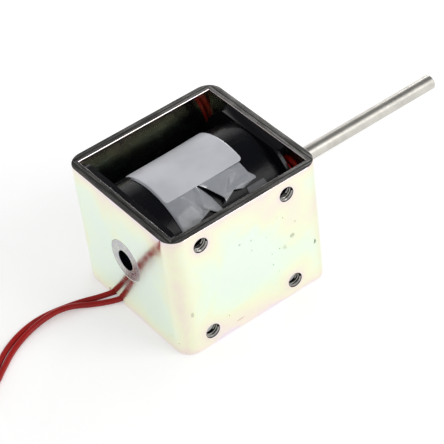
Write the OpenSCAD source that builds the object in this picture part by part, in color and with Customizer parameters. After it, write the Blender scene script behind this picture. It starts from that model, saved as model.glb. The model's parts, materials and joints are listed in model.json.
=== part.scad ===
// Push-pull solenoid: bent strip frame, taped coil, plunger on a long push rod, two flying leads.
// Millimetres. +X runs along the rod, away from the frame; +Z is up; the frame stands on Z = 0.
// The origin is the bottom centre of the box round the solenoid without its flying leads.

/* [Frame] */
// Outside length of the frame, along the rod
frame_len = 44.7; // [42:0.1:48]
// Outside width of the frame, square to the rod
frame_w = 43; // [42.6:0.1:44]
// Height of the frame, the width of its strip
frame_h = 36.5; // [36.3:0.1:38]
// Thickness of the steel strip
strip_t = 2.5; // [2.3:0.1:2.6]
// Outside radius of the four bends
bend_r = 4.3; // [3:0.1:5]
// Gap of the butt seam in the rod end wall
seam_gap = 0.1; // [0.05:0.05:0.3]

/* [Mounting holes] */
// Diameter of the four threaded holes in the mounting wall (M4)
mount_d = 4; // [3:0.1:5]
// Distance between the holes along the rod
mount_pitch_x = 25.5; // [20:0.5:30]
// Distance between the holes up the wall
mount_pitch_z = 28; // [24:0.5:29]
// How far the pattern's centre lies from the frame's centre, towards the core end
mount_shift = 1.2; // [0:0.1:2]

/* [Rod and plunger] */
// Diameter of the push rod
rod_d = 4; // [3:0.1:4.4]
// How far the rod stands out of the frame at rest
rod_reach = 53.8; // [30:0.1:60]
// How deep the rod's tail end lies inside the core's bore at rest
rod_tail = 3; // [2.5:0.1:6]
// Diameter of the plunger inside the guide tube
plunger_d = 12; // [11.5:0.1:12]
// Diameter of the plunger's neck, which passes the front bush
neck_d = 10; // [8:0.1:10.2]
// How far the neck stands out of the frame at rest
neck_reach = 5; // [3:0.1:6]
// Travel of the plunger and rod
stroke = 8; // [4:0.1:8]
// Diameter of the bore through the fixed core
core_bore = 5.5; // [4.6:0.1:6]
// Diameter of the core's staked end in the frame wall
core_tail_d = 11.5; // [9:0.1:12]

/* [Coil] */
// Outside radius of the copper winding
winding_r = 16.7; // [14:0.1:16.8]
// Outside radius of the black tape over the winding
wrap_r = 17.4; // [17.1:0.1:17.5]
// Thickness of the silver tape
tape_t = 0.3; // [0.1:0.05:0.35]
// Thickness of the label
label_t = 0.2; // [0.1:0.05:0.25]
// Length of the label along the rod
label_len = 22.9; // [15:0.1:26]
// Radius of the round far flange before its flats
far_flange_r = 20.4; // [19:0.1:21]

/* [Leads] */
// Outside diameter of each red lead
lead_d = 1.5; // [1.2:0.1:1.5]
// Turns of lead 1 in the coil of spare lead
lead_1_turns = 2.6; // [2:0.05:3]
// Turns of lead 2 in the coil of spare lead
lead_2_turns = 3.15; // [2:0.05:3.3]

/* [Hidden] */
$fn = 96;

eps = 0.01;
// Radial room of a running fit, and of pieces pressed or slipped together
run_gap = 0.075;
seat_gap = 0.02;

axis_z = frame_h / 2;
x_back = -(frame_len + rod_reach) / 2;   // outer face of the core end wall
x_front = x_back + frame_len;            // outer face of the rod end wall
x_in_back = x_back + strip_t;            // its two inner faces
x_in_front = x_front - strip_t;
x_tip = x_front + rod_reach;
y_in = frame_w / 2 - strip_t;            // inner faces of the side walls
x_holes = x_back + frame_len / 2 - mount_shift;

// Notch under the core end wall and the near flange, where the leads leave
notch_y = [4.9, 10.8];
notch_h = 1.7;

// Plunger and what guides it
tube_id = plunger_d + 2 * run_gap;
tube_od = 13.3;
bush_len = 7.7;
x_bush = x_front - bush_len;
bumper_t = 1;
washer_t = 0.5;
x_shoulder = x_bush - bumper_t - 0.1;
x_neck_end = x_front + neck_reach;
core_len = 11;
x_pole = x_in_back + core_len;
x_plunger = x_pole + washer_t + 0.1 + stroke;
x_rod_end = x_back + rod_tail;
rod_chamfer = 0.3;
tail_rod_d = rod_d - 0.4;                // the rod is turned down up to its step
x_step = x_neck_end + 0.3;
pin_d = 1.5;
pin_len = plunger_d - 0.6;
x_pin = x_plunger + 7;

// Bobbin
bobbin_bore = 13.4;
bobbin_od = 15.6;
near_flange_t = 1.7;
far_flange_t = 0.9;
chamber_t = 1.8;
flange_gap = 0.1;
flange_w = 2 * (y_in - flange_gap);
flange_h = frame_h - 0.9;
flange_corner = 3;
hub_r = 9;
rail_w = 22.4;
rail_h = 2.6;
x_window = x_in_back + near_flange_t;                  // the winding lies between these two
x_far_flange = x_in_front - chamber_t - far_flange_t;
x_chamber = x_in_front - chamber_t;
x_lead_plane = x_chamber + chamber_t / 2;
window_gap = 0.05;
window_len = x_far_flange - x_window;

// Tape and label on the coil. Angles run from the top towards the mounting wall.
tape_x = x_back + 9;
tape_len = 24;
tape_angles = [-24, 47];
label_x = x_back + 9.6;
label_angles = [-36, 22];
patch_x = x_back + 29.2;
patch_len = 5.5;
patch_angles = [47.2, 62];

// Joints between the coil's tails and the leads, in the chamber behind the far flange
joint_z = 31.2;
joint_y = 4.6;
tail_y = 2.4;
sleeve_y = 7;
sleeve_len = 5;
sleeve_od = 1.74;
sleeve_lap = 1;
tail_d = 0.5;
joint_d = 1.1;

// Coil of spare lead, on the same surface as the frame
coil_centre = [x_back - 47.25, 11.8];
coil_r_1 = 9.3;
coil_r_2 = 7.7;
coil_base = 0.4;
coil_start_z = 1.15;
coil_pitch = 1.7;
coil_room = 0.1;
coil_inner = coil_r_2 - lead_d / 2 - coil_room;
coil_outer = coil_r_1 + lead_d / 2 + coil_room;
coil_top = coil_start_z + coil_pitch * max(lead_1_turns, lead_2_turns) + lead_d / 2;
tie_t = 0.4;
tie_w = 2.5;
tie_head = [3.5, 1.6, 3];
tip_d = 0.9;
tip_len = 6;
tip_lap = 0.5;

// Places of the lead plane and of the core end wall for which the two routes are written
route_plane = -7.95;
route_back = -49.25;
route_middle = -25;
// Route of lead 1: from its sleeve, round the mounting wall side of the chamber, under the hub,
// out below the far flange, along under the coil, through the notch and off to the spare coil
lead_1_route = [
    [-7.95, -7, 31.2], [-7.95, -10, 31.2], [-7.95, -13.2, 30.6], [-7.95, -15.7, 28.6],
    [-7.95, -17, 25.5], [-7.95, -17.2, 21], [-7.95, -17.2, 16], [-7.95, -16.6, 12],
    [-7.95, -14.6, 8.9], [-7.95, -11.4, 7.1], [-7.95, -7, 6.7], [-7.95, 7, 6.7],
    [-7.95, 11, 6.7], [-7.95, 12.7, 6.2], [-7.95, 13.8, 5], [-8, 14.2, 3.6],
    [-8.4, 14.2, 2.2], [-9.5, 14.2, 1.1], [-11.2, 14.2, 0.75], [-15, 13.6, 0.75],
    [-21, 11.4, 0.75], [-28, 8.6, 0.75], [-35, 6.5, 0.75], [-41, 5.9, 0.75],
    [-45, 5.8, 0.75], [-49, 6.4, 0.75], [-52.5, 7.9, 0.75], [-55.8, 9.9, 0.75],
    [-58.3, 11.15, 1.2], [-60.7, 11.95, 1.7], [-63.4, 12.7, 1.75], [-66.3, 13.05, 1.5],
    [-69.5, 12.9, 1.25], [-73.1, 12.2, 0.95], [-76.5, 11, 0.8], [-80, 9.15, 0.75],
    [-84.4, 6.1, 0.75], [-88.4, 3.4, 0.75], [-92.5, 2.6, 0.95], [-96.5, 2.5, 1.15]];
// Route of lead 2: from its sleeve, down the other side of the chamber, then beside lead 1
lead_2_route = [
    [-7.95, 7, 31.2], [-7.95, 10, 31.2], [-7.95, 13.2, 30.6], [-7.95, 15.7, 28.6],
    [-7.95, 17, 25.5], [-7.95, 17.2, 21], [-7.95, 17.2, 16], [-7.95, 17, 11],
    [-7.95, 16.4, 7], [-8, 15.9, 4], [-8.4, 15.8, 2.2], [-9.5, 15.8, 1.1],
    [-11.2, 15.8, 0.75], [-15.2, 15.2, 0.75], [-21.6, 12.9, 0.75], [-28.5, 10.1, 0.75],
    [-35.4, 8.2, 0.75], [-41, 7.6, 0.75], [-44.8, 8.3, 0.75], [-48, 9.3, 0.75],
    [-50.6, 10, 0.75], [-53.2, 10.85, 0.75], [-55.8, 11.9, 0.75], [-58.5, 12.85, 0.75],
    [-61.2, 13.55, 0.75], [-64, 14.15, 0.75], [-67, 14.5, 0.75], [-70.5, 14.4, 0.75],
    [-74.2, 13.65, 0.75], [-77.8, 12.35, 0.75], [-81.2, 10.5, 0.75], [-85.3, 7.5, 0.75],
    [-88.9, 5, 0.75], [-92.6, 4.2, 0.95], [-96.5, 4.1, 1.15]];

// A route moved along X, so that its ends keep to the lead plane and to the core end wall
function fitted(route) = [for (p = route) [
    p[0] + (p[0] > route_middle ? x_lead_plane - route_plane : x_back - route_back), p[1], p[2]]];

function unit(v) = v / norm(v);

// Direction of a route at each of its points
function headings(p) = [for (i = [0 : len(p) - 1])
    unit(p[min(i + 1, len(p) - 1)] - p[max(i - 1, 0)])];

// One normal for each heading, carried along the route without twist
function normals(h, n, i = 0) = i == len(h) ? [] :
    let (m = unit(n - (n * h[i]) * h[i])) concat([m], normals(h, m, i + 1));

// Round solid tube along a route
module tube_along(route, d, sides = 8) {
    h = headings(route);
    n = normals(h, [1, 0.2, 0.1]);
    rings = [for (i = [0 : len(route) - 1]) for (k = [0 : sides - 1])
        let (a = 360 * k / sides)
            route[i] + d / 2 * (cos(a) * n[i] + sin(a) * cross(h[i], n[i]))];
    last = (len(route) - 1) * sides;
    walls = [for (i = [0 : len(route) - 2]) for (k = [0 : sides - 1])
        let (a = i * sides + k, b = i * sides + (k + 1) % sides)
            each [[a, a + sides, b], [b, a + sides, b + sides]]];
    polyhedron(points = rings, convexity = 6,
        faces = concat([[for (k = [0 : sides - 1]) k]], walls,
            [[for (k = [sides - 1 : -1 : 0]) last + k]]));
}

// Cylinder on the rod's axis, from x over a length
module rod_x(x, d, length) {
    translate([x, 0, axis_z]) rotate([0, 90, 0]) cylinder(d = d, h = length);
}

// Round ring on the rod's axis
module ring_x(x, od, id, length) {
    difference() {
        rod_x(x, od, length);
        rod_x(x - 1, id, length + 2);
    }
}

// Part of a shell round the rod's axis, between two angles from the top
module shell_x(x, length, r, t, angles) {
    translate([x, 0, axis_z]) rotate([0, 90, 0]) rotate([0, 0, angles[0] + 180])
        rotate_extrude(angle = angles[1] - angles[0]) translate([r, 0]) square([t, length]);
}

// Rectangle with round corners, centred, in the plane
module round_rect(w, h, r) {
    square([w - 2 * r, h], center = true);
    square([w, h - 2 * r], center = true);
    for (x = [-1, 1], y = [-1, 1]) translate([x * (w / 2 - r), y * (h / 2 - r)]) circle(r);
}

// A plate square to the rod: its outline's first axis points down and its second along Y
module plate_x(x, t) {
    translate([x, 0, axis_z]) rotate([0, 90, 0]) linear_extrude(t) children();
}

module lead_notch(x, length) {
    translate([x, notch_y[0], -1]) cube([length, notch_y[1] - notch_y[0], notch_h + 1]);
}

module frame() {
    color([0.88, 0.89, 0.72]) difference() {
        translate([x_back + frame_len / 2, 0, 0]) linear_extrude(frame_h) difference() {
            round_rect(frame_len, frame_w, bend_r);
            square([frame_len - 2 * strip_t, 2 * y_in], center = true);
        }
        rod_x(x_back - 1, core_tail_d + 2 * seat_gap, strip_t + 2);
        rod_x(x_in_front - 1, tube_od + 2 * seat_gap, strip_t + 2);
        for (i = [-1, 1], k = [-1, 1])
            translate([x_holes + i * mount_pitch_x / 2, 1 - y_in, axis_z + k * mount_pitch_z / 2])
                rotate([90, 0, 0]) cylinder(d = mount_d, h = strip_t + 2);
        translate([x_in_front - 1, -seam_gap / 2, -1]) cube([strip_t + 2, seam_gap, frame_h + 2]);
        lead_notch(x_back - 1, strip_t + 2);
    }
}

module fixed_core() {
    color([0.75, 0.74, 0.78]) difference() {
        union() {
            rod_x(x_back, core_tail_d, strip_t + eps);
            rod_x(x_in_back, plunger_d, core_len);
        }
        rod_x(x_back - 1, core_bore, strip_t + core_len + 2);
    }
}

module stop_washer() {
    color([0.8, 0.65, 0.3]) ring_x(x_pole, plunger_d - 0.4, core_bore + 0.5, washer_t);
}

module guide_tube() {
    color([0.8, 0.65, 0.3]) ring_x(x_in_back, tube_od, tube_id, x_bush - x_in_back);
}

module front_bush() {
    color([0.55, 0.55, 0.57]) ring_x(x_bush, tube_od, neck_d + 2 * run_gap, bush_len);
}

module bumper_ring() {
    color([0.12, 0.12, 0.12])
        ring_x(x_bush - bumper_t, plunger_d, neck_d + 2 * run_gap + 0.3, bumper_t);
}

module bobbin() {
    color([0.1, 0.1, 0.12]) difference() {
        union() {
            plate_x(x_in_back, near_flange_t) round_rect(flange_h, flange_w, flange_corner);
            plate_x(x_far_flange, far_flange_t) intersection() {
                circle(far_flange_r);
                square([flange_h, flange_w], center = true);
            }
            rod_x(x_in_back, bobbin_od, x_in_front - x_in_back);
            rod_x(x_chamber - eps, 2 * hub_r, chamber_t + eps);
            for (z = [axis_z - flange_h / 2, axis_z + flange_h / 2 - rail_h])
                translate([x_chamber - eps, -rail_w / 2, z])
                    cube([chamber_t + eps, rail_w, rail_h]);
        }
        rod_x(x_back, bobbin_bore, frame_len);
        lead_notch(x_in_back - 1, near_flange_t + 2);
        for (side = [-1, 1]) translate([x_far_flange - 1, side * tail_y, joint_z])
            rotate([0, 90, 0]) cylinder(d = tail_d + 0.1, h = far_flange_t + 2);
    }
}

module winding() {
    color([0.72, 0.4, 0.2])
        ring_x(x_window + window_gap, 2 * winding_r, bobbin_od + 0.1, window_len - 2 * window_gap);
}

module winding_wrap() {
    color([0.08, 0.08, 0.1]) ring_x(x_window + window_gap, 2 * wrap_r, 2 * winding_r,
        window_len - 2 * window_gap);
}

module tape_band() {
    color([0.6, 0.61, 0.63]) shell_x(tape_x, tape_len, wrap_r, tape_t, tape_angles);
}

module tape_patch() {
    color([0.75, 0.75, 0.75]) shell_x(patch_x, patch_len, wrap_r, tape_t, patch_angles);
}

module label() {
    color([0.9, 0.9, 0.93]) shell_x(label_x, label_len, wrap_r + tape_t, label_t, label_angles);
}

// End of the winding's wire: through its hole in the far flange, then along into the sleeve
module coil_tail(side) {
    color([0.75, 0.4, 0.2]) {
        translate([x_far_flange - window_gap, side * tail_y, joint_z]) rotate([0, 90, 0])
            cylinder(d = tail_d, h = x_lead_plane - x_far_flange + window_gap + tail_d / 2);
        translate([x_lead_plane, side * (tail_y - tail_d / 2), joint_z])
            rotate([-side * 90, 0, 0]) cylinder(d = tail_d, h = joint_y - tail_y + tail_d / 2);
    }
}

// Soldered end of a lead on the winding's tail
module solder_joint(side) {
    color([0.7, 0.7, 0.72]) translate([x_lead_plane, side * joint_y, joint_z])
        rotate([-side * 90, 0, 0]) cylinder(d = joint_d, h = sleeve_y - joint_y);
}

module insulating_sleeve(side) {
    color([0.85, 0.82, 0.7]) translate([x_lead_plane, side * (sleeve_y + sleeve_lap), joint_z])
        rotate([side * 90, 0, 0]) difference() {
            cylinder(d = sleeve_od, h = sleeve_len);
            translate([0, 0, -1]) cylinder(d = lead_d + 2 * seat_gap, h = sleeve_len + 2);
        }
}

module plunger() {
    color([0.66, 0.66, 0.68]) difference() {
        union() {
            rod_x(x_plunger, plunger_d, x_shoulder - x_plunger);
            rod_x(x_plunger, neck_d, x_neck_end - x_plunger);
        }
        rod_x(x_plunger - 1, tail_rod_d + 2 * seat_gap, x_neck_end - x_plunger + 2);
        translate([x_pin, 0, axis_z - plunger_d])
            cylinder(d = pin_d + 2 * seat_gap, h = 2 * plunger_d);
    }
}

module push_rod() {
    color([0.8, 0.79, 0.75]) difference() {
        union() {
            rod_x(x_rod_end, tail_rod_d, x_step - x_rod_end + eps);
            rod_x(x_step, rod_d, x_tip - rod_chamfer - x_step);
            translate([x_tip - rod_chamfer, 0, axis_z]) rotate([0, 90, 0])
                cylinder(d1 = rod_d, d2 = rod_d - 2 * rod_chamfer, h = rod_chamfer);
        }
        translate([x_pin, 0, axis_z - rod_d])
            cylinder(d = pin_d + 2 * seat_gap, h = 2 * rod_d);
    }
}

module cross_pin() {
    color([0.6, 0.6, 0.62]) translate([x_pin, 0, axis_z - pin_len / 2])
        cylinder(d = pin_d, h = pin_len);
}

module lead_1() {
    color([0.62, 0.06, 0.06]) tube_along(fitted(lead_1_route), lead_d);
}

module lead_2() {
    color([0.7, 0.07, 0.06]) tube_along(fitted(lead_2_route), lead_d);
}

// Outer shape of both leads' spare turns, wound side by side
module lead_coil() {
    color([0.66, 0.07, 0.06]) translate([coil_centre[0], coil_centre[1], coil_base])
        rotate_extrude() translate([coil_inner, 0])
            square([coil_outer - coil_inner, coil_top - coil_base]);
}

// Nylon tie round the spare turns
module lead_tie() {
    near = sqrt(coil_inner ^ 2 - (tie_w / 2) ^ 2) - seat_gap;
    far = coil_outer + seat_gap;
    color([0.9, 0.9, 0.88]) translate([coil_centre[0], coil_centre[1], 0]) {
        difference() {
            translate([-tie_w / 2, near - tie_t, 0])
                cube([tie_w, far - near + 2 * tie_t, coil_top + tie_t]);
            translate([-tie_w, near, coil_base])
                cube([2 * tie_w, far - near, coil_top - coil_base]);
        }
        translate([-tie_head[0] / 2, far + tie_t - eps, coil_top - tie_head[2]]) cube(tie_head);
    }
}

// Tinned end of a lead, where the lead comes straight out of its last turn
module lead_tip(r, turns) {
    leaves = sqrt(coil_outer ^ 2 - r ^ 2) - tip_lap;
    color([0.75, 0.75, 0.76])
        translate([coil_centre[0], coil_centre[1], coil_start_z + coil_pitch * turns])
            rotate([0, 0, -90 - 360 * turns]) translate([r, -leaves, 0])
                rotate([90, 0, 0]) cylinder(d = tip_d, h = tip_len);
}

frame();
fixed_core();
stop_washer();
guide_tube();
front_bush();
bumper_ring();
bobbin();
winding();
winding_wrap();
tape_band();
tape_patch();
label();
coil_tail(-1);  // coil_tail_1
coil_tail(1);  // coil_tail_2
solder_joint(-1);  // solder_joint_1
solder_joint(1);  // solder_joint_2
insulating_sleeve(-1);  // insulating_sleeve_1
insulating_sleeve(1);  // insulating_sleeve_2
plunger();
push_rod();
cross_pin();
lead_1();
lead_2();
lead_coil();
lead_tie();
lead_tip(coil_r_1, lead_1_turns);  // lead_1_tip
lead_tip(coil_r_2, lead_2_turns);  // lead_2_tip
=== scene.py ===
"""Looks of the push pull solenoid: plated frame, taped coil, push rod and red leads, on a plain stage.

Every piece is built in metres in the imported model's frame: +X runs along the rod and +Z is up.
"""

import json
import math

import bmesh
import bpy
from bpy.props import FloatProperty, FloatVectorProperty, IntProperty, PointerProperty
from mathutils import Matrix, Vector, noise


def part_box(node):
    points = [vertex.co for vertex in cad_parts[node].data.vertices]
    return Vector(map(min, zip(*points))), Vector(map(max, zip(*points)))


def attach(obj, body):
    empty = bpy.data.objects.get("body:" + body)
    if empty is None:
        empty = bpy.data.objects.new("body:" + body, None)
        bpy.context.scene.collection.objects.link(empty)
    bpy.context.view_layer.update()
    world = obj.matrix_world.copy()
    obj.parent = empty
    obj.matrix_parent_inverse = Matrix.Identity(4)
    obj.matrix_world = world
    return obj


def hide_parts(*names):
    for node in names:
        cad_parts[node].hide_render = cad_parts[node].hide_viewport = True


bl_info = {
    "name": "Push Pull Solenoid",
    "version": (1, 0, 0),
    "blender": (4, 5, 0),
    "location": "3D View > Sidebar > Solenoid",
    "description": "Builds the finished pieces, leads and stage of a push pull solenoid",
    "category": "Object",
}

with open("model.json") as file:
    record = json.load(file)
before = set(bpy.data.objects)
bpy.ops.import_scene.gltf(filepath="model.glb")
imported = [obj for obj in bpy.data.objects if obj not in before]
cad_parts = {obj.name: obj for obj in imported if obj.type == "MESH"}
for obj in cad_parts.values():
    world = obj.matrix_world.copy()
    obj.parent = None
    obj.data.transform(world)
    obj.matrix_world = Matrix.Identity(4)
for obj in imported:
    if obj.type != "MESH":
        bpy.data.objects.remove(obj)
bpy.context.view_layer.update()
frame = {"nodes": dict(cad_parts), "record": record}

MM = 0.001
BODY = "frame_body"
MOVING = "plunger_body"
SHARP = math.radians(35)

FRAME_LOW, FRAME_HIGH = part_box("frame")
FRAME_MIDDLE = (FRAME_LOW + FRAME_HIGH) / 2
AXIS_Z = FRAME_MIDDLE.z
X_BACK = FRAME_LOW.x
STRIP = 2.5 * MM
MOUNT = next(m for m in frame["record"]["mounts"] if m["name"] == "mounting_holes")

# Centre lines of the leads up to their spare turns, in millimetres
LEAD_1_ROUTE = [
    (-7.95, -7, 31.2), (-7.95, -10, 31.2), (-7.95, -13.2, 30.6), (-7.95, -15.7, 28.6),
    (-7.95, -17, 25.5), (-7.95, -17.2, 21), (-7.95, -17.2, 16), (-7.95, -16.6, 12),
    (-7.95, -14.6, 8.9), (-7.95, -11.4, 7.1), (-7.95, -7, 6.7), (-7.95, 7, 6.7),
    (-7.95, 11, 6.7), (-7.95, 12.7, 6.2), (-7.95, 13.8, 5), (-8, 14.2, 3.6),
    (-8.4, 14.2, 2.2), (-9.5, 14.2, 1.1), (-11.2, 14.2, 0.75), (-15, 13.6, 0.75),
    (-21, 11.4, 0.75), (-28, 8.6, 0.75), (-35, 6.5, 0.75), (-41, 5.9, 0.75),
    (-45, 5.8, 0.75), (-49, 6.4, 0.75), (-52.5, 7.9, 0.75), (-55.8, 9.9, 0.75),
    (-58.3, 11.15, 1.2), (-60.7, 11.95, 1.7), (-63.4, 12.7, 1.75), (-66.3, 13.05, 1.5),
    (-69.5, 12.9, 1.25), (-73.1, 12.2, 0.95), (-76.5, 11, 0.8), (-80, 9.15, 0.75),
    (-84.4, 6.1, 0.75), (-88.4, 3.4, 0.75), (-92.5, 2.6, 0.95), (-96.5, 2.5, 1.15),
]
LEAD_2_ROUTE = [
    (-7.95, 7, 31.2), (-7.95, 10, 31.2), (-7.95, 13.2, 30.6), (-7.95, 15.7, 28.6),
    (-7.95, 17, 25.5), (-7.95, 17.2, 21), (-7.95, 17.2, 16), (-7.95, 17, 11),
    (-7.95, 16.4, 7), (-8, 15.9, 4), (-8.4, 15.8, 2.2), (-9.5, 15.8, 1.1),
    (-11.2, 15.8, 0.75), (-15.2, 15.2, 0.75), (-21.6, 12.9, 0.75), (-28.5, 10.1, 0.75),
    (-35.4, 8.2, 0.75), (-41, 7.6, 0.75), (-44.8, 8.3, 0.75), (-48, 9.3, 0.75),
    (-50.6, 10, 0.75), (-53.2, 10.85, 0.75), (-55.8, 11.9, 0.75), (-58.5, 12.85, 0.75),
    (-61.2, 13.55, 0.75), (-64, 14.15, 0.75), (-67, 14.5, 0.75), (-70.5, 14.4, 0.75),
    (-74.2, 13.65, 0.75), (-77.8, 12.35, 0.75), (-81.2, 10.5, 0.75), (-85.3, 7.5, 0.75),
    (-88.9, 5, 0.75), (-92.6, 4.2, 0.95), (-96.5, 4.1, 1.15),
]


def length(name, text, default_mm):
    return FloatProperty(name=name, description=text, default=default_mm * MM, min=0, unit="LENGTH")


def colour(name, text, default):
    return FloatVectorProperty(name=name, description=text, default=default, size=3, min=0, max=1,
                               subtype="COLOR")


class CameraSettings(bpy.types.PropertyGroup):
    """Where the camera stands."""

    aim: FloatVectorProperty(name="Aim", description="Point in the middle of the view",
                             default=(-0.020539, 0, 0.012675), subtype="TRANSLATION", unit="LENGTH")
    azimuth: FloatProperty(name="Azimuth", description="Turn round the solenoid, 0 looks along +Y",
                           default=math.radians(-32.51), subtype="ANGLE", unit="ROTATION")
    elevation: FloatProperty(name="Elevation", description="Height above the horizon",
                             default=math.radians(41.72), subtype="ANGLE", unit="ROTATION")
    roll: FloatProperty(name="Roll", description="Turn about the line of sight",
                        default=math.radians(-7.675), subtype="ANGLE", unit="ROTATION")
    distance: length("Distance", "From the camera to its aim", 473.61)
    lens: FloatProperty(name="Lens", description="Focal length on a 36 mm sensor, in millimetres",
                        default=154.63)


class LeadSettings(bpy.types.PropertyGroup):
    """The two red leads and their spare turns."""

    diameter: length("Diameter", "Outside diameter of each lead", 1.5)
    length_1: length("Length of lead 1", "From its solder joint to its tinned end", 313)
    length_2: length("Length of lead 2", "From its solder joint to its tinned end", 289)
    turns_1: FloatProperty(name="Turns of lead 1", description="Spare turns of lead 1", default=2.6)
    turns_2: FloatProperty(name="Turns of lead 2", description="Spare turns of lead 2", default=3.15)
    radius_1: length("Turn radius of lead 1", "Radius of the outer turns", 9.3)
    radius_2: length("Turn radius of lead 2", "Radius of the inner turns", 7.7)
    pitch: length("Pitch", "Rise of each spare turn", 1.7)
    steps: IntProperty(name="Steps", description="Points in each spare turn", default=16, min=12)


class EdgeSettings(bpy.types.PropertyGroup):
    """How far the edges of the pieces are rounded."""

    strip: length("Rolled edge", "Rounding of the strip's widest rolled edge", 0.42)
    turned: length("Turned edges", "Broken edges of turned steel pieces", 0.12)
    moulded: length("Moulded edges", "Rounding of the bobbin's edges", 0.3)
    small: length("Small edges", "Rounding of the tie and the thin pieces", 0.08)


class ThreadSettings(bpy.types.PropertyGroup):
    """The thread in the mounting holes."""

    pitch: length("Pitch", "Rise of the thread in one turn", 0.7)
    depth: length("Depth", "How far the crests stand in from the bore", 0.33)
    end_gap: length("End gap", "From the wall's faces to the thread's ends", 0.15)
    steps: IntProperty(name="Steps", description="Facets in each turn", default=32, min=12)


class WrapSettings(bpy.types.PropertyGroup):
    """The films on the coil."""

    radius: length("Radius", "Outside of the wrapped coil", 17.56)
    tape: length("Tape", "Thickness of the silver tape", 0.06)
    label: length("Label", "Thickness of the label and of the scrap of tape", 0.08)
    label_gap: length("Label gap", "From the coil to the label", 0.12)
    label_curl: length("Label curl", "How far the label's end towards the rod stands off", 0.35)
    label_wave: length("Label wave", "Depth of the label's waves", 0.06)
    label_corner: length("Label corner", "Radius of the label's corners", 1.0)
    scrap_corner: length("Scrap corner", "Radius of the scrap's corners", 0.4)


class FinishSettings(bpy.types.PropertyGroup):
    """Colours of the finishes."""

    plating: colour("Plating", "Passivated zinc in the middle of a wall", (0.85, 0.955, 0.85))
    plating_mint: colour("Plating, mint", "Zinc a little nearer an edge", (0.86, 0.97, 0.80))
    plating_yellow: colour("Plating, yellow", "Zinc near edges and holes", (0.93, 0.95, 0.72))
    plating_peach: colour("Plating, peach", "Zinc close to edges and holes", (0.93, 0.84, 0.74))
    plating_pink: colour("Plating, pink", "Zinc right at edges and holes", (0.88, 0.80, 0.86))
    cut_steel: colour("Cut steel", "Sheared edge of the strip", (0.20, 0.195, 0.185))
    thread: colour("Thread", "Flanks of the threads", (0.34, 0.33, 0.31))
    core: colour("Core", "End of the fixed core", (0.62, 0.65, 0.59))
    rod: colour("Rod", "Ground stainless rod", (0.66, 0.64, 0.59))
    plunger: colour("Plunger", "Nickel plated plunger", (0.55, 0.55, 0.56))
    brass: colour("Brass", "Guide tube and washer", (0.72, 0.50, 0.20))
    copper: colour("Copper", "Enamelled winding wire", (0.62, 0.25, 0.10))
    moulding: colour("Moulding", "Black nylon bobbin", (0.005, 0.005, 0.007))
    wrap: colour("Wrap", "Black tape over the winding", (0.004, 0.0045, 0.007))
    film: colour("Film", "Silver tape", (0.36, 0.375, 0.41))
    label: colour("Label", "White label film", (0.66, 0.67, 0.72))
    rubber: colour("Rubber", "Bumper ring", (0.02, 0.02, 0.02))
    pvc: colour("PVC", "Red insulation of the leads", (0.45, 0.010, 0.009))
    tin: colour("Tin", "Tinned wire and solder", (0.62, 0.62, 0.64))
    sleeve: colour("Sleeve", "Varnished glass sleeving", (0.62, 0.56, 0.38))
    nylon: colour("Nylon", "Natural nylon tie", (0.78, 0.76, 0.70))


class StageSettings(bpy.types.PropertyGroup):
    """Floor and light."""

    floor: colour("Floor", "Colour of the floor", (0.88, 0.88, 0.88))
    sky: FloatProperty(name="Sky", description="Strength of the light from all round", default=0.6)
    ceiling: FloatProperty(name="Ceiling", description="Brightness that gloss mirrors from overhead",
                           default=0.14)
    key: FloatProperty(name="Key", description="Power of the large soft lamp", default=0.62, unit="POWER")
    rim: FloatProperty(name="Rim", description="Power of the small low lamp", default=0.2, unit="POWER")


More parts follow.
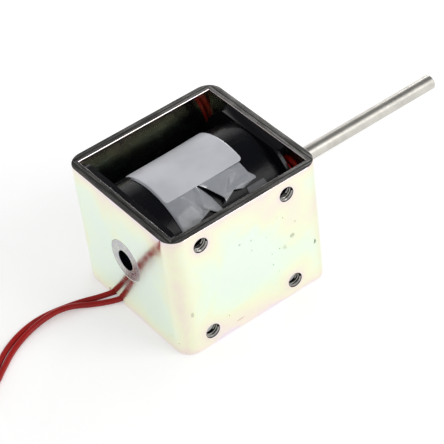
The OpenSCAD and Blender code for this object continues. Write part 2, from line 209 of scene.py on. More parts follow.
class Nodes:
    """One material's node tree, with a short call for each kind of node that the finishes use."""

    def __init__(self, name, **inputs):
        self.material = bpy.data.materials.new(name)
        self.material.use_nodes = True
        self.tree = self.material.node_tree
        self.shader = self.tree.nodes["Principled BSDF"]
        self.set(self.shader, inputs)
        self.place = self.add("ShaderNodeTexCoord").outputs["Object"]

    def set(self, node, inputs):
        """Puts a value on each named socket, or links it where the value is another node's output."""
        for key, value in inputs.items():
            socket = node.inputs[key]
            if isinstance(value, bpy.types.NodeSocket):
                self.tree.links.new(value, socket)
            elif socket.type == "RGBA" and len(value) == 3:
                socket.default_value = (*value, 1)
            else:
                socket.default_value = value

    def add(self, kind, inputs=None, **settings):
        node = self.tree.nodes.new(kind)
        for key, value in settings.items():
            setattr(node, key, value)
        self.set(node, inputs or {})
        return node

    def maths(self, operation, a, b=0.0, c=0.0):
        return self.add("ShaderNodeMath", {0: a, 1: b, 2: c}, operation=operation).outputs[0]

    def stretch(self, x, y, z):
        """Object coordinates, scaled along each axis."""
        return self.add("ShaderNodeMapping", {"Vector": self.place, "Scale": (x, y, z)}).outputs[0]

    def noise(self, scale, detail=2.0, rough=0.5, vector=None, distortion=0.0):
        return self.add("ShaderNodeTexNoise", {
            "Vector": vector or self.place, "Scale": scale, "Detail": detail, "Roughness": rough,
            "Distortion": distortion}).outputs["Fac"]

    def specks(self, scale, vector=None):
        return self.add("ShaderNodeTexVoronoi", {"Vector": vector or self.place, "Scale": scale}
                        ).outputs["Distance"]

    def fade(self, value, low, high, to_low=0.0, to_high=1.0):
        """Smooth step of value from low to high, spread over to_low to to_high."""
        return self.add("ShaderNodeMapRange", {
            "Value": value, "From Min": low, "From Max": high, "To Min": to_low, "To Max": to_high,
        }, interpolation_type="SMOOTHSTEP").outputs["Result"]

    def mix(self, share, a, b, blend="MIX"):
        node = self.add("ShaderNodeMix", data_type="RGBA", blend_type=blend)
        self.set(node, {0: share, 6: a, 7: b})
        return node.outputs[2]

    def ramp(self, value, *stops):
        """Colours at even places from 0 to 1."""
        node = self.add("ShaderNodeValToRGB", {"Fac": value})
        marks = node.color_ramp.elements
        while len(marks) < len(stops):
            marks.new(0.5)
        for i, (mark, stop) in enumerate(zip(marks, stops)):
            mark.position = i / (len(stops) - 1)
            mark.color = (*stop, 1)
        return node.outputs["Color"]

    def distance(self, a, b):
        return self.maths("SQRT", self.maths("ADD", self.maths("MULTIPLY", a, a),
                                             self.maths("MULTIPLY", b, b)))

    def bump(self, height, distance, strength=1.0, normal=None):
        node = self.add("ShaderNodeBump", {"Height": height, "Distance": distance, "Strength": strength})
        if normal:
            self.set(node, {"Normal": normal})
        return node.outputs["Normal"]

    def finish(self, **inputs):
        self.set(self.shader, {key.replace("_", " "): value for key, value in inputs.items()})
        return self.material


def settings(group):
    return getattr(bpy.context.scene, group)


def add_object(name, mesh, body, slot, *nodes):
    """Links a mesh as a piece that rides on a body, and stands for CAD nodes where they are named."""
    piece = bpy.data.objects.new(name, mesh)
    bpy.context.scene.collection.objects.link(piece)
    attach(piece, body)
    if nodes:
        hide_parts(*nodes)
    return piece


def mesh_of(name, shape, material, sharp=SHARP):
    """Turns a bmesh into a mesh that is smooth except at edges sharper than an angle."""
    mesh = bpy.data.meshes.new(name)
    shape.to_mesh(mesh)
    shape.free()
    mesh.materials.append(material)
    mesh.shade_smooth()
    mesh.set_sharp_from_angle(angle=sharp)
    return mesh


def finished_copy(node, material, slot, width, body=BODY, name=None, shares=None):
    """A piece with the exact shape of a CAD node, and with its edges rounded.

    shares(edge) gives the share of the width that each edge takes, where they differ.
    """
    name = name or node + "_finished"
    shape = bmesh.new()
    shape.from_mesh(frame["nodes"][node].data)
    bmesh.ops.remove_doubles(shape, verts=shape.verts, dist=1e-6)
    bmesh.ops.dissolve_limit(shape, angle_limit=math.radians(0.5), verts=shape.verts, edges=shape.edges)
    if shares:
        weight = shape.edges.layers.float.new("bevel_weight_edge")
        for edge in shape.edges:
            edge[weight] = shares(edge) if edge.calc_face_angle(0) > SHARP else 0
    piece = add_object(name, mesh_of(name, shape, material), body, slot, node)
    bevel = piece.modifiers.new("edges", "BEVEL")
    bevel.width = width
    bevel.segments = 3
    bevel.limit_method = "WEIGHT" if shares else "ANGLE"
    bevel.angle_limit = SHARP
    bevel.harden_normals = True
    return piece


def dress(node, material):
    """Gives a CAD node that stays as it is its material."""
    mesh = frame["nodes"][node].data
    mesh.materials.clear()
    mesh.materials.append(material)


def on_coil(x, radius, angle):
    """Point round the rod's axis, at an angle from the top towards the mounting wall."""
    return Vector((x, -radius * math.sin(angle), AXIS_Z + radius * math.cos(angle)))


# Marks on the mounting wall: mm from the frame's end, mm up, half width, half height and strength
MARKS = [(40.9, 12.8, 0.45, 0.9, 0.8), (34.3, 19.0, 0.9, 0.7, 0.4), (31.9, 16.6, 0.7, 0.8, 0.25),
         (3.5, 13.0, 0.5, 0.9, 0.35), (16.4, 2.7, 1.5, 0.25, 0.3), (13.5, 6.0, 0.25, 0.3, 0.5),
         (19.0, 25.6, 0.45, 0.4, 0.35), (22.3, 24.9, 0.3, 0.25, 0.35)]


def plated_steel():
    """Passivated zinc, whose tints follow its distance from edges, and the strip's sheared grey edge."""
    colours = settings("finish_settings")
    n = Nodes("plated_steel", Metallic=1.0)
    wall = n.add("ShaderNodeSeparateXYZ", {"Vector": n.place}).outputs
    half_x = (FRAME_HIGH.x - FRAME_LOW.x) / 2
    along = n.maths("SUBTRACT", wall["X"], FRAME_MIDDLE.x)
    from_end = n.maths("SUBTRACT", half_x, n.maths("ABSOLUTE", along))
    from_side = n.maths("SUBTRACT", FRAME_HIGH.y, n.maths("ABSOLUTE", wall["Y"]))
    depth = n.maths("MINIMUM", from_end, from_side)
    from_bend = n.maths("MAXIMUM", from_end, from_side)
    up = n.maths("SUBTRACT", wall["Z"], AXIS_Z)
    from_rim = n.maths("SUBTRACT", AXIS_Z, n.maths("ABSOLUTE", up))
    mounting = n.maths("LESS_THAN", wall["Y"], -15 * MM)

    pitch_x, pitch_z = (MOUNT["dims"][f"spacing_{axis}_mm"] * MM / 2 for axis in "xy")
    across = n.maths("SUBTRACT", wall["X"], MOUNT["pos_m"][0])
    hole = n.distance(n.maths("SUBTRACT", n.maths("ABSOLUTE", across), pitch_x),
                      n.maths("SUBTRACT", n.maths("ABSOLUTE", up), pitch_z))
    hole = n.maths("SUBTRACT", hole, MOUNT["dims"]["hole_r_mm"] * MM)
    hole = n.maths("ADD", hole, n.maths("MULTIPLY", n.maths("SUBTRACT", 1, mounting), 50 * MM))

    clouds = n.noise(48, 3, 0.5, distortion=0.8)
    patches = n.noise(170, 4, 0.6)
    order = n.maths("MINIMUM", n.maths("MINIMUM", n.maths("ADD", from_bend, 1.6 * MM), from_rim), hole)
    order = n.maths("MULTIPLY", order, n.fade(clouds, 0.32, 0.68, 0.35, 2.0))
    order = n.maths("ADD", order, n.maths("MULTIPLY", n.maths("SUBTRACT", patches, 0.5), 3 * MM))
    order = n.maths("SQRT", n.maths("MAXIMUM", n.maths("DIVIDE", order, 15 * MM), 0))
    tint = n.ramp(order, colours.plating_pink, colours.plating_peach,
                  colours.plating_yellow, colours.plating_mint, colours.plating)
    # Browner and darker within a few millimetres of the bends.
    near_bend = n.fade(from_bend, 1.5 * MM, 5 * MM, 0.14, 0)
    tint = n.mix(near_bend, tint, (0.40, 0.34, 0.22))

    dirt = n.fade(n.specks(400), 0.06, 0.13, 0.5, 0)
    dirt = n.maths("MULTIPLY", dirt, n.fade(n.noise(75, 2), 0.5, 0.58))
    ragged = n.maths("MULTIPLY", n.maths("SUBTRACT", n.noise(900, 3, 0.6), 0.5), 1.6)
    for x, z, wide, high, strength in MARKS:
        mark = n.distance(n.maths("DIVIDE", n.maths("SUBTRACT", wall["X"], X_BACK + x * MM), wide * MM),
                          n.maths("DIVIDE", n.maths("SUBTRACT", wall["Z"], z * MM), high * MM))
        mark = n.fade(n.maths("ADD", mark, ragged), 0.5, 1.2, strength, 0)
        dirt = n.maths("MAXIMUM", dirt, n.maths("MULTIPLY", mark, mounting))
    tint = n.mix(dirt, tint, (0.16, 0.17, 0.14))
    # Painted shade: the bores of the mounting holes and a thin ring round them are painted near black.
    painted_hole_shade = n.fade(hole, 0.02 * MM, 0.1 * MM, 1, 0)
    tint = n.mix(painted_hole_shade, tint, (0.03, 0.03, 0.028))

    facing = n.add("ShaderNodeSeparateXYZ", {"Vector": n.add("ShaderNodeNewGeometry").outputs["Normal"]})
    cut = n.fade(n.maths("ABSOLUTE", facing.outputs["Z"]), 0.78, 0.95)
    ends = n.maths("LESS_THAN", from_end, from_side)
    streaks = n.maths("ADD", n.maths("MULTIPLY", n.noise(1, 4, 0.6, n.stretch(1500, 110, 300)), ends),
                      n.maths("MULTIPLY", n.noise(1, 4, 0.6, n.stretch(110, 1500, 300)),
                              n.maths("SUBTRACT", 1, ends)))
    grain = n.noise(2300, 3, 0.65)
    steel = n.mix(n.fade(streaks, 0.35, 0.65), (0.055, 0.053, 0.05), colours.cut_steel)
    steel = n.mix(n.fade(grain, 0.45, 0.72, 0, 0.7), steel, (0.03, 0.03, 0.03))
    torn = n.maths("ADD", depth, n.maths("MULTIPLY", n.maths("SUBTRACT", streaks, 0.5), 0.8 * MM))
    seam = n.maths("ABSOLUTE", n.maths("SUBTRACT", torn, 1.35 * MM))
    steel = n.mix(n.fade(seam, 0.12 * MM, 0.3 * MM, 0.75, 0), steel, (0.015, 0.015, 0.014))
    # Painted light: the sheared rims are made brighter towards the rod's end of the frame, where they catch
    # more light.
    painted_rim_light = n.fade(along, -half_x, half_x, 1.05, 1.8)
    steel = n.mix(1.0, steel, n.add("ShaderNodeCombineXYZ", {"X": painted_rim_light, "Y": painted_rim_light, "Z": painted_rim_light}
                                    ).outputs[0], "MULTIPLY")
    rough = n.fade(n.noise(300, 3, 0.6), 0.3, 0.7, 0.11, 0.19)
    relief = n.bump(n.noise(600, 3, 0.6), 0.006 * MM)
    relief = n.bump(n.maths("MULTIPLY", n.maths("ADD", streaks, grain), cut), 0.1 * MM, 0.8, relief)
    return n.finish(Base_Color=n.mix(cut, tint, steel), Normal=relief,
                    Roughness=n.maths("ADD", rough, n.maths("MULTIPLY", cut, 0.27)))


def core_steel():
    """Turned end of the fixed core, with painted shade in its bore."""
    colours = settings("finish_settings")
    n = Nodes("core_steel", Metallic=1.0)
    place = n.add("ShaderNodeSeparateXYZ", {"Vector": n.place}).outputs
    radius = n.distance(place["Y"], n.maths("SUBTRACT", place["Z"], AXIS_Z))
    grain = n.noise(1500, 3, 0.65)
    shade = n.mix(n.fade(n.noise(420, 3, 0.6), 0.35, 0.65), colours.core,
                  [channel * share for channel, share in zip(colours.core, (0.86, 0.80, 0.96))])
    shade = n.mix(n.fade(grain, 0.6, 0.72, 0, 0.5), shade, (0.2, 0.2, 0.2))
    # Painted shade: inside the bore the steel is painted near black.
    shade = n.mix(n.fade(radius, 2.79 * MM, 2.92 * MM, 1, 0), shade, (0.02, 0.034, 0.05))
    return n.finish(Base_Color=shade, Roughness=n.fade(grain, 0.3, 0.7, 0.2, 0.34),
                    Normal=n.bump(grain, 0.02 * MM))


def turned_steel(name, tint, low=0.22, high=0.34, pitch=0.25):
    """Steel turned or ground about the rod's axis, with fine rings."""
    n = Nodes(name, Metallic=1.0)
    rings = n.noise(1, 3, 0.6, n.stretch(9000 * pitch, 60, 60))
    clouds = n.noise(160, 3, 0.6)
    shade = n.mix(n.fade(clouds, 0.3, 0.75), tint, [channel * 0.82 for channel in tint])
    return n.finish(Base_Color=shade, Roughness=n.fade(rings, 0.3, 0.7, low, high),
                    Normal=n.bump(rings, 0.004 * MM))


def moulded(name, tint, rough=0.22, texture=0.006, gloss=0.5):
    """Moulded or extruded plastic, with a faint orange peel."""
    n = Nodes(name)
    n.set(n.shader, {"Specular IOR Level": gloss})
    peel = n.noise(900, 2, 0.5)
    clouds = n.noise(120, 3, 0.6)
    shade = n.mix(n.fade(clouds, 0.3, 0.7), tint, [channel * 0.8 for channel in tint])
    return n.finish(Base_Color=shade, Roughness=n.fade(clouds, 0.3, 0.7, rough * 0.85, rough * 1.2),
                    Normal=n.bump(peel, texture * MM))


def wound_wire(name, tint):
    """Enamelled wire in close turns about the rod's axis."""
    n = Nodes(name, Metallic=0.9, Roughness=0.3)
    turns = n.add("ShaderNodeTexWave", {"Vector": n.place, "Scale": 2400, "Distortion": 0.4},
                  bands_direction="X").outputs["Fac"]
    # Painted shade: the wave paints dark bands between the turns of wire.
    shade = n.mix(turns, [channel * 0.45 for channel in tint], tint)
    return n.finish(Base_Color=shade, Normal=n.bump(turns, 0.1 * MM))


def film(name, tint, rough, crease, gloss=0.5):
    """Thin film with small creases."""
    n = Nodes(name)
    n.set(n.shader, {"Specular IOR Level": gloss})
    wrinkles = n.noise(260, 4, 0.6, distortion=1.5)
    clouds = n.noise(110, 3, 0.55)
    shade = n.mix(n.fade(clouds, 0.3, 0.7), tint, [channel * 0.86 for channel in tint])
    return n.finish(Base_Color=shade, Roughness=n.fade(wrinkles, 0.3, 0.7, rough * 0.8, rough * 1.25),
                    Normal=n.bump(wrinkles, crease * MM))


class SOLENOID_OT_camera(bpy.types.Operator):
    """Puts the camera in its place"""

    bl_idname = "solenoid.camera"
    bl_label = "Camera"

    def execute(self, context):
        s = settings("camera_settings")
        flat = math.cos(s.elevation)
        back = Vector((math.sin(s.azimuth) * flat, -math.cos(s.azimuth) * flat, math.sin(s.elevation)))
        data = bpy.data.cameras.new("camera")
        data.lens = s.lens
        data.clip_start = 0.01
        camera = bpy.data.objects.new("camera", data)
        context.scene.collection.objects.link(camera)
        upright = (-back).to_track_quat("-Z", "Y").to_matrix().to_4x4()
        place = Matrix.Translation(Vector(s.aim) + back * s.distance)
        camera.matrix_world = place @ upright @ Matrix.Rotation(s.roll, 4, "Z")
        context.scene.camera = camera
        return {"FINISHED"}


def spare_turns(start, radius, turns):
    """Points of a lead's spare turns, clockwise and rising, and then straight out past the outer turns."""
    s = settings("lead_settings")
    middle = Vector((start.x, start.y + radius, start.z))
    outside = s.radius_1 + s.diameter / 2 + 0.1 * MM
    points = []
    count = round(turns * s.steps)
    for i in range(1, count + 1):
        turned = turns * i / count
        angle = math.radians(-90 - 360 * turned)
        points.append(middle + Vector((radius * math.cos(angle), radius * math.sin(angle),
                                       s.pitch * turned)))
    straight = math.sqrt(outside ** 2 - radius ** 2)
    heading = Vector((math.sin(angle), -math.cos(angle), 0))
    points += [points[-1] + heading * straight * share for share in (0.5, 1)]
    return points


class SOLENOID_OT_leads(bpy.types.Operator):
    """Lays the two red leads, with their spare turns, tinned ends and tie"""

    bl_idname = "solenoid.leads"
    bl_label = "Leads"

    def lead(self, number, route, radius, turns, full_length, insulation, tinned, with_pieces):
        s = settings("lead_settings")
        points = [Vector(point) * MM for point in route]
        points += spare_turns(points[-1], radius, turns)
        curve = bpy.data.curves.new(f"lead_{number}_wire", "CURVE")
        curve.dimensions = "3D"
        curve.bevel_depth = s.diameter / 2
        curve.bevel_resolution = 5
        curve.resolution_u = 6
        curve.use_fill_caps = True
        spline = curve.splines.new("BEZIER")
        spline.bezier_points.add(len(points) - 1)
        for bezier, point in zip(spline.bezier_points, points):
            bezier.co = point
            bezier.handle_left_type = bezier.handle_right_type = "AUTO"
        curve.materials.append(insulation)
        lead = add_object(f"lead_{number}_wire", curve, BODY, "red_pvc", f"lead_{number}", "lead_coil")
        tip = finished_copy(f"lead_{number}_tip", tinned, "solder", 0.2 * MM)

    def execute(self, context):
        s = settings("lead_settings")
        colours = settings("finish_settings")
        tie = finished_copy("lead_tie", moulded("nylon", colours.nylon, 0.4), "nylon",
                            settings("edge_settings").small)
        insulation = moulded("red_pvc", colours.pvc, 0.32, 0.01, 0.35)
        tinned = turned_steel("tinned_wire", colours.tin, 0.25, 0.4)
        self.lead(1, LEAD_1_ROUTE, s.radius_1, s.turns_1, s.length_1, insulation, tinned, [tie])
        self.lead(2, LEAD_2_ROUTE, s.radius_2, s.turns_2, s.length_2, insulation, tinned, [])
        return {"FINISHED"}


def thread(name, middle, radius, low, high, material):
    """Ridge of an inside thread about a line along Y, between two places on it."""
    s = settings("thread_settings")
    turns = (high - low) / s.pitch - 1
    shape = bmesh.new()
    root, crest = radius + 0.02 * MM, radius - s.depth
    half = s.pitch * 0.46
    profile = [(root, 0), (crest, half - 0.06 * MM), (crest, half + 0.06 * MM), (root, 2 * half)]
    verts = [shape.verts.new((middle.x + r, low + y, middle.z)) for r, y in profile]
    edges = [shape.edges.new((verts[i], verts[(i + 1) % 4])) for i in range(4)]
    steps = round(turns * s.steps)
    bmesh.ops.spin(shape, geom=verts + edges, cent=(middle.x, low, middle.z), axis=(0, 1, 0),
                   dvec=(0, s.pitch * turns / steps, 0), angle=2 * math.pi * turns, steps=steps)
    bmesh.ops.holes_fill(shape, edges=[e for e in shape.edges if e.is_boundary], sides=4)
    bmesh.ops.recalc_face_normals(shape, faces=shape.faces)
    return add_object(name, mesh_of(name, shape, material, math.radians(50)), BODY, "plated_steel")


class SOLENOID_OT_frame(bpy.types.Operator):
    """Builds the bent strip frame, with its sheared edges and threaded holes"""

    bl_idname = "solenoid.frame"
    bl_label = "Frame"

    def rolled(self, edge):
        """How far an edge of the strip is rolled over, as a share of its widest edge."""
        a, b = (v.co for v in edge.verts)
        if max(abs(a.y), abs(b.y)) < 0.2 * MM:
            return 0
        level = abs(a.z - b.z) < 0.01 * MM
        inner = abs(a.y - b.y) < 0.01 * MM and abs(a.y - FRAME_HIGH.y + STRIP) < MM
        return 1 if level and inner else 0.4

    def execute(self, context):
        colours = settings("finish_settings")
        finished_copy("frame", plated_steel(), "plated_steel", settings("edge_settings").strip,
                      name="strip_frame", shares=self.rolled)
        steel = turned_steel("thread_steel", colours.thread, 0.16, 0.26)
        dims = MOUNT["dims"]
        middle = Vector(MOUNT["pos_m"])
        end_gap = settings("thread_settings").end_gap
        for i, sx in enumerate((-1, 1)):
            for k, sz in enumerate((-1, 1)):
                hole = middle + Vector((sx * dims["spacing_x_mm"], 0, sz * dims["spacing_y_mm"])) * MM / 2
                thread(f"thread_{2 * i + k + 1}", hole, dims["hole_r_mm"] * MM,
                       middle.y + end_gap, middle.y + STRIP - end_gap, steel)
        return {"FINISHED"}


class SOLENOID_OT_core(bpy.types.Operator):
    """Finishes the fixed core, the front bush and the brass and rubber pieces inside"""

    bl_idname = "solenoid.core"
    bl_label = "Core and bush"

    def execute(self, context):
        colours = settings("finish_settings")
        edges = settings("edge_settings")
        finished_copy("fixed_core", core_steel(), "core_steel", edges.turned * 2)
        finished_copy("front_bush", turned_steel("bush_steel", colours.plunger), "bush_steel",
                      edges.turned)
        brass = turned_steel("brass", colours.brass)
        dress("guide_tube", brass)
        dress("stop_washer", brass)
        dress("bumper_ring", moulded("rubber", colours.rubber, 0.6, 0.02))
        return {"FINISHED"}


class SOLENOID_OT_bobbin(bpy.types.Operator):
    """Finishes the bobbin and the winding with its tails, joints and sleeves"""

    bl_idname = "solenoid.bobbin"
    bl_label = "Bobbin and winding"

    def execute(self, context):
        colours = settings("finish_settings")
        edges = settings("edge_settings")
        moulding = moulded("black_moulding", colours.moulding, 0.16, gloss=0.3)
        finished_copy("bobbin", moulding, "black_moulding", edges.moulded)
        finished_copy("winding_wrap", film("black_tape", colours.wrap, 0.24, 0.03, 0.2), "black_tape",
                      edges.small)
        wire = wound_wire("winding_wire", colours.copper)
        solder = turned_steel("solder", colours.tin, 0.2, 0.3)
        sleeve = moulded("sleeving", colours.sleeve, 0.5, 0.03)
        dress("winding", wire)
        for side in "12":
            dress(f"coil_tail_{side}", wire)
            dress(f"solder_joint_{side}", solder)
            finished_copy(f"insulating_sleeve_{side}", sleeve, "sleeving", 0.04 * MM)
        return {"FINISHED"}


def sheet_on_coil(low_x, high_x, low_angle, high_angle, radius, columns, rows, lift, corner=0.0):
    """Grid bent round the coil. lift(x, angle) gives how far a point stands off, corner rounds its ends."""
    shape = bmesh.new()
    bmesh.ops.create_grid(shape, x_segments=columns, y_segments=rows, size=0.5)
    width, height = high_x - low_x, (high_angle - low_angle) * radius
    for v in shape.verts:
        x, y = v.co.x * width, v.co.y * height
        over_x, over_y = abs(x) - width / 2 + corner, abs(y) - height / 2 + corner
        if corner and over_x > 0 and over_y > 0:
            out = max(over_x, over_y) / math.hypot(over_x, over_y)
            x = math.copysign(width / 2 - corner + over_x * out, x)
            y = math.copysign(height / 2 - corner + over_y * out, y)
        x += (low_x + high_x) / 2
        angle = (low_angle + high_angle) / 2 + y / radius
        v.co = on_coil(x, radius + lift(x, angle), angle)
    bmesh.ops.recalc_face_normals(shape, faces=shape.faces)
    top = max(shape.faces, key=lambda face: face.calc_center_median().z)
    if top.normal.z < 0:
        bmesh.ops.reverse_faces(shape, faces=shape.faces)
    return shape


# The crumpled silver tape: mm from the frame's end, degrees from the top, mm off the coil
TAPE_POINTS = {
    "top 1": (9.0, -24, 0), "top 2": (12.6, -24, 0), "top 3": (16.6, -24, 0), "top 4": (18.7, -24, 0),
    "top 5": (19.4, -24, 0), "top 6": (27.5, -24, 0), "top 7": (30.2, -24, 0), "top 8": (33, -24, 0),
    "row 1": (9.2, 21.8, 0), "row 2": (12.6, 21.8, 0), "row 3": (16.6, 21.8, 0),
    "row 4": (18.7, 21.8, 0.05), "row 5": (19.4, 21.8, 0.05), "row 6": (27.5, 21.8, 0.05),
    "row 7": (30.2, 21.8, 0), "row 8": (31.4, 21.8, 0),
    "side": (9.2, 36, 0), "corner": (9.2, 50, 0), "low 1": (13.5, 50, 0), "low 2": (14.7, 47.2, 0.15),
    "ridge 1": (13.0, 23.8, 0.45), "ridge 2": (14.6, 33, 0.6), "ridge 3": (15.2, 40.1, 0.3),
    "foot 1": (14.6, 24.5, 0.05), "foot 2": (16.0, 33.5, 0.0), "foot 3": (16.4, 40.6, 0.05),
    "dimple": (17.4, 23.4, -0.05), "peak": (18.1, 22.9, 0.5), "middle": (17.8, 31, 0.45),
    "lip 1": (17.0, 39.5, 0.6), "lip 2": (17.9, 43.5, 0.5), "lip 3": (19.4, 47.8, 0.5),
    "tip": (21.1, 47.4, 0.35), "gap 1": (19.0, 24.8, 0.1), "gap 2": (19.8, 31.2, 0.05),
    "gap 3": (20.5, 38.8, 0.05),
    "flap 1": (19.2, 23, 0.4), "flap 2": (20.2, 28.7, 0.9), "flap 3": (22.4, 40.8, 1.3),
    "flap 4": (22.3, 44.9, 1.1), "flap 5": (23.5, 38.1, 1.3), "flap 6": (27.3, 25.8, 0.7),
    "valley 1": (25.6, 34.9, 0.05), "valley 2": (30.1, 25.8, 0.15), "crest 1": (25.8, 39.3, 0.95),
    "crest 2": (27.6, 37.9, 0.95), "crest 3": (29.5, 39.3, 0.95), "hem": (28.2, 41.9, 0.6),
    "right 1": (31.5, 23.5, 0.1), "right 2": (31.8, 32.8, 0.15), "right 3": (32.7, 38.2, 0.5),
    "right 4": (32.6, 39.7, 0.5), "right 5": (31.3, 39.9, 0.35), "right 6": (29.6, 41, 0.5),
}
TAPE_FACETS = [
    "row 1,side,ridge 1,row 2", "side,ridge 2,ridge 1", "side,corner,low 1,ridge 3", "side,ridge 3,ridge 2",
    "row 2,ridge 1,foot 1,row 3", "ridge 1,ridge 2,foot 2,foot 1", "ridge 2,ridge 3,foot 3,foot 2",
    "ridge 3,low 1,low 2,foot 3", "row 3,foot 1,dimple", "row 3,dimple,peak,row 4",
    "foot 1,foot 2,middle,dimple", "dimple,middle,peak", "foot 2,foot 3,lip 1,middle",
    "foot 3,low 2,lip 2,lip 1", "middle,lip 1,lip 2", "middle,lip 2,lip 3,gap 3", "lip 3,tip,gap 3",
    "middle,gap 3,gap 2", "peak,middle,gap 2,gap 1", "row 4,peak,gap 1",
    "row 5,flap 1,flap 2", "row 5,flap 2,flap 6,row 6", "flap 2,flap 3,flap 5,flap 6",
    "flap 3,flap 4,flap 5", "flap 6,flap 5,valley 1", "row 6,flap 6,valley 2,row 7",
    "flap 6,valley 1,valley 2", "flap 5,flap 4,crest 1,valley 1", "valley 1,crest 1,crest 2",
    "valley 1,crest 2,crest 3,right 2", "valley 2,valley 1,right 2", "row 7,valley 2,right 1,row 8",
    "valley 2,right 2,right 1", "right 2,crest 3,right 5", "right 2,right 5,right 4,right 3",
    "crest 1,hem,crest 3,crest 2", "crest 3,hem,right 6", "crest 3,right 6,right 5",
] + [f"top {i},row {i},row {i + 1},top {i + 1}" for i in range(1, 8)]


def crumpled_tape(radius):
    """The silver tape: creased facets, softened a little and bent round the coil."""
    shape = bmesh.new()
    corners = {name: shape.verts.new((x, math.radians(angle) * radius / MM, lift))
               for name, (x, angle, lift) in TAPE_POINTS.items()}
    for facet in TAPE_FACETS:
        shape.faces.new([corners[name] for name in facet.split(",")])
    bmesh.ops.triangulate(shape, faces=shape.faces)
    bmesh.ops.subdivide_edges(shape, edges=shape.edges, cuts=5, use_grid_fill=True)
    inside = [v for v in shape.verts if not v.is_boundary]
    for _ in range(3):
        bmesh.ops.smooth_vert(shape, verts=inside, factor=0.4, use_axis_x=False, use_axis_y=False,
                              use_axis_z=True)
    for v in shape.verts:
        x, angle = v.co.x * MM, v.co.y * MM / radius
        loose = min(max((math.degrees(angle) - 22) / 8, 0), 1)
        ripple = noise.noise(Vector((v.co.x * 0.7, v.co.y * 0.7, 4.2)))
        v.co = on_coil(X_BACK + x, radius + (v.co.z + 0.09 * ripple * loose) * MM, angle)
    bmesh.ops.recalc_face_normals(shape, faces=shape.faces)
    return shape


class SOLENOID_OT_wrappings(bpy.types.Operator):
    """Lays the silver tape and the bare label on the coil"""

    bl_idname = "solenoid.wrappings"
    bl_label = "Tape and label"

    def sheet(self, name, shape, material, slot, thickness, node):
        piece = add_object(name, mesh_of(name, shape, material, math.radians(60)), BODY, slot, node)
        solid = piece.modifiers.new("thickness", "SOLIDIFY")
        solid.thickness = thickness
        solid.offset = -1
        return piece

    def execute(self, context):
        colours = settings("finish_settings")
        s = settings("wrap_settings")
        silver = film("silver_tape", colours.film, 0.26, 0.03, 0.6)
        self.sheet("silver_tape", crumpled_tape(s.radius), silver, "clear_tape", s.tape, "tape_band")

        low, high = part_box("tape_patch")
        shape = sheet_on_coil(low.x, high.x, math.radians(42.5), math.radians(61),
                              s.radius, 24, 24, lambda x, angle: 0, s.scrap_corner)
        scrap = film("tape_scrap", [channel * 0.35 for channel in colours.film], 0.35, 0.03, 0.4)
        self.sheet("tape_scrap", shape, scrap, "clear_tape", s.label, "tape_patch")

        low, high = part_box("label")

        def label_lift(x, angle):
            share = (x - low.x) / (high.x - low.x)
            wave = noise.noise(Vector((x * 90, angle * 2.2, 7.1)))
            return s.label_curl * share * share + s.label_wave * wave

        shape = sheet_on_coil(low.x, high.x, math.radians(-37), math.radians(22),
                              s.radius + s.label_gap, 60, 60, label_lift, s.label_corner)
        self.sheet("label_film", shape, film("label_film", colours.label, 0.35, 0.02), "label_film",
                   s.label, "label")
        return {"FINISHED"}


class SOLENOID_OT_rod(bpy.types.Operator):
    """Finishes the push rod, the plunger and their cross pin"""

    bl_idname = "solenoid.rod"
    bl_label = "Rod and plunger"

    def execute(self, context):
        colours = settings("finish_settings")
        edges = settings("edge_settings")
        rod = turned_steel("rod_steel", colours.rod, 0.36, 0.5, 0.5)
        finished_copy("push_rod", rod, "rod_steel", edges.turned / 2, MOVING)
        finished_copy("plunger", turned_steel("plunger_steel", colours.plunger), "plunger_steel",
                      edges.turned, MOVING)
        finished_copy("cross_pin", rod, "rod_steel", edges.turned / 2, MOVING)
        return {"FINISHED"}


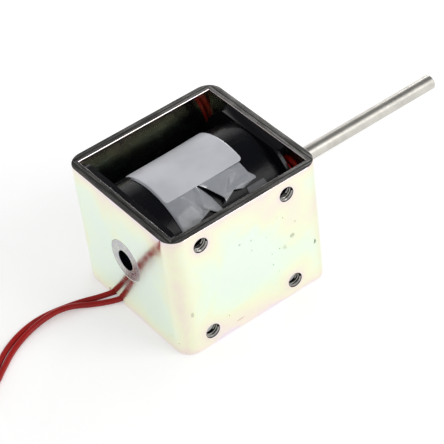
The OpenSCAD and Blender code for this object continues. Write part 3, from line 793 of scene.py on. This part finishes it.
class SOLENOID_OT_stage(bpy.types.Operator):
    """Makes the pale floor, the white surroundings and the soft lamps"""

    bl_idname = "solenoid.stage"
    bl_label = "Stage"

    def seen(self, tree):
        """1 for what the camera, a reflection or clear material sees, and 0 for light on the object."""
        path = tree.nodes.new("ShaderNodeLightPath")
        total = path.outputs["Is Camera Ray"]
        for name in ("Is Glossy Ray", "Is Transmission Ray"):
            add = tree.nodes.new("ShaderNodeMath")
            add.operation = "MAXIMUM"
            tree.links.new(total, add.inputs[0])
            tree.links.new(path.outputs[name], add.inputs[1])
            total = add.outputs[0]
        return total

    def lamp(self, name, power, direction, distance, size):
        data = bpy.data.lights.new(name, "AREA")
        data.energy = power
        data.size = size
        lamp = bpy.data.objects.new(name, data)
        bpy.context.scene.collection.objects.link(lamp)
        lamp.location = FRAME_MIDDLE + Vector(direction).normalized() * distance
        lamp.rotation_mode = "QUATERNION"
        lamp.rotation_quaternion = (FRAME_MIDDLE - lamp.location).to_track_quat("-Z", "Y")
        lamp.visible_camera = False

    def surroundings(self, sky, ceiling):
        """World that gloss sees as white walls under a dark ceiling, and that lights evenly."""
        world = bpy.data.worlds.new("surroundings")
        world.use_nodes = True
        tree = world.node_tree

        def fade(value, low, high, to_low, to_high):
            node = tree.nodes.new("ShaderNodeMapRange")
            node.interpolation_type = "SMOOTHSTEP"
            tree.links.new(value, node.inputs["Value"])
            for name, number in (("From Min", low), ("From Max", high)):
                node.inputs[name].default_value = number
            for name, number in (("To Min", to_low), ("To Max", to_high)):
                if isinstance(number, bpy.types.NodeSocket):
                    tree.links.new(number, node.inputs[name])
                else:
                    node.inputs[name].default_value = number
            return node.outputs["Result"]

        towards = tree.nodes.new("ShaderNodeTexCoord").outputs["Generated"]
        split = tree.nodes.new("ShaderNodeSeparateXYZ")
        tree.links.new(towards, split.inputs[0])
        walls = fade(split.outputs["Z"], 0.42, 0.62, 1, ceiling)
        background = tree.nodes["Background"]
        background.inputs["Color"].default_value = (1, 1, 1, 1)
        tree.links.new(fade(self.seen(tree), 0, 1, sky, walls), background.inputs["Strength"])
        return world

    def execute(self, context):
        s = settings("stage_settings")
        scene = context.scene
        scene.view_settings.view_transform = "Standard"
        scene.world = self.surroundings(s.sky, s.ceiling)

        shape = bmesh.new()
        bmesh.ops.create_grid(shape, x_segments=1, y_segments=1, size=3)
        n = Nodes("floor", Roughness=1.0)
        n.set(n.shader, {"Base Color": s.floor, "Specular IOR Level": 0.0})
        glow = n.maths("MULTIPLY", self.seen(n.tree), 0.36)
        n.set(n.shader, {"Emission Color": (1, 1, 1), "Emission Strength": glow})
        floor = bpy.data.objects.new("floor", mesh_of("floor", shape, n.material))
        scene.collection.objects.link(floor)

        self.lamp("key_lamp", s.key, (0.40, -0.67, 0.63), 0.5, 0.26)
        self.lamp("rim_lamp", s.rim, (0.735, 0.629, 0.253), 0.4, 0.08)
        return {"FINISHED"}


class SOLENOID_PT_panel(bpy.types.Panel):
    """Sidebar panel with one button for each group of pieces"""

    bl_label = "Push Pull Solenoid"
    bl_idname = "SOLENOID_PT_panel"
    bl_space_type = "VIEW_3D"
    bl_region_type = "UI"
    bl_category = "Solenoid"

    def draw(self, context):
        for operator in OPERATORS:
            self.layout.operator(operator.bl_idname)
        for group in GROUPS:
            box = self.layout.box()
            for name in GROUPS[group].__annotations__:
                box.prop(getattr(context.scene, group), name)


GROUPS = {
    "camera_settings": CameraSettings,
    "lead_settings": LeadSettings,
    "edge_settings": EdgeSettings,
    "thread_settings": ThreadSettings,
    "wrap_settings": WrapSettings,
    "finish_settings": FinishSettings,
    "stage_settings": StageSettings,
}
OPERATORS = (
    SOLENOID_OT_camera, SOLENOID_OT_leads, SOLENOID_OT_frame, SOLENOID_OT_core, SOLENOID_OT_bobbin,
    SOLENOID_OT_wrappings, SOLENOID_OT_rod, SOLENOID_OT_stage,
)
CLASSES = (*GROUPS.values(), *OPERATORS, SOLENOID_PT_panel)


def register():
    for cls in CLASSES:
        bpy.utils.register_class(cls)
    for name, group in GROUPS.items():
        setattr(bpy.types.Scene, name, PointerProperty(type=group))


def unregister():
    for name in GROUPS:
        delattr(bpy.types.Scene, name)
    for cls in reversed(CLASSES):
        bpy.utils.unregister_class(cls)


def main():
    register()
    bpy.ops.solenoid.camera()
    bpy.ops.solenoid.leads()
    bpy.ops.solenoid.frame()
    bpy.ops.solenoid.core()
    bpy.ops.solenoid.bobbin()
    bpy.ops.solenoid.wrappings()
    bpy.ops.solenoid.rod()
    bpy.ops.solenoid.stage()


if __name__ == "__main__":
    main()
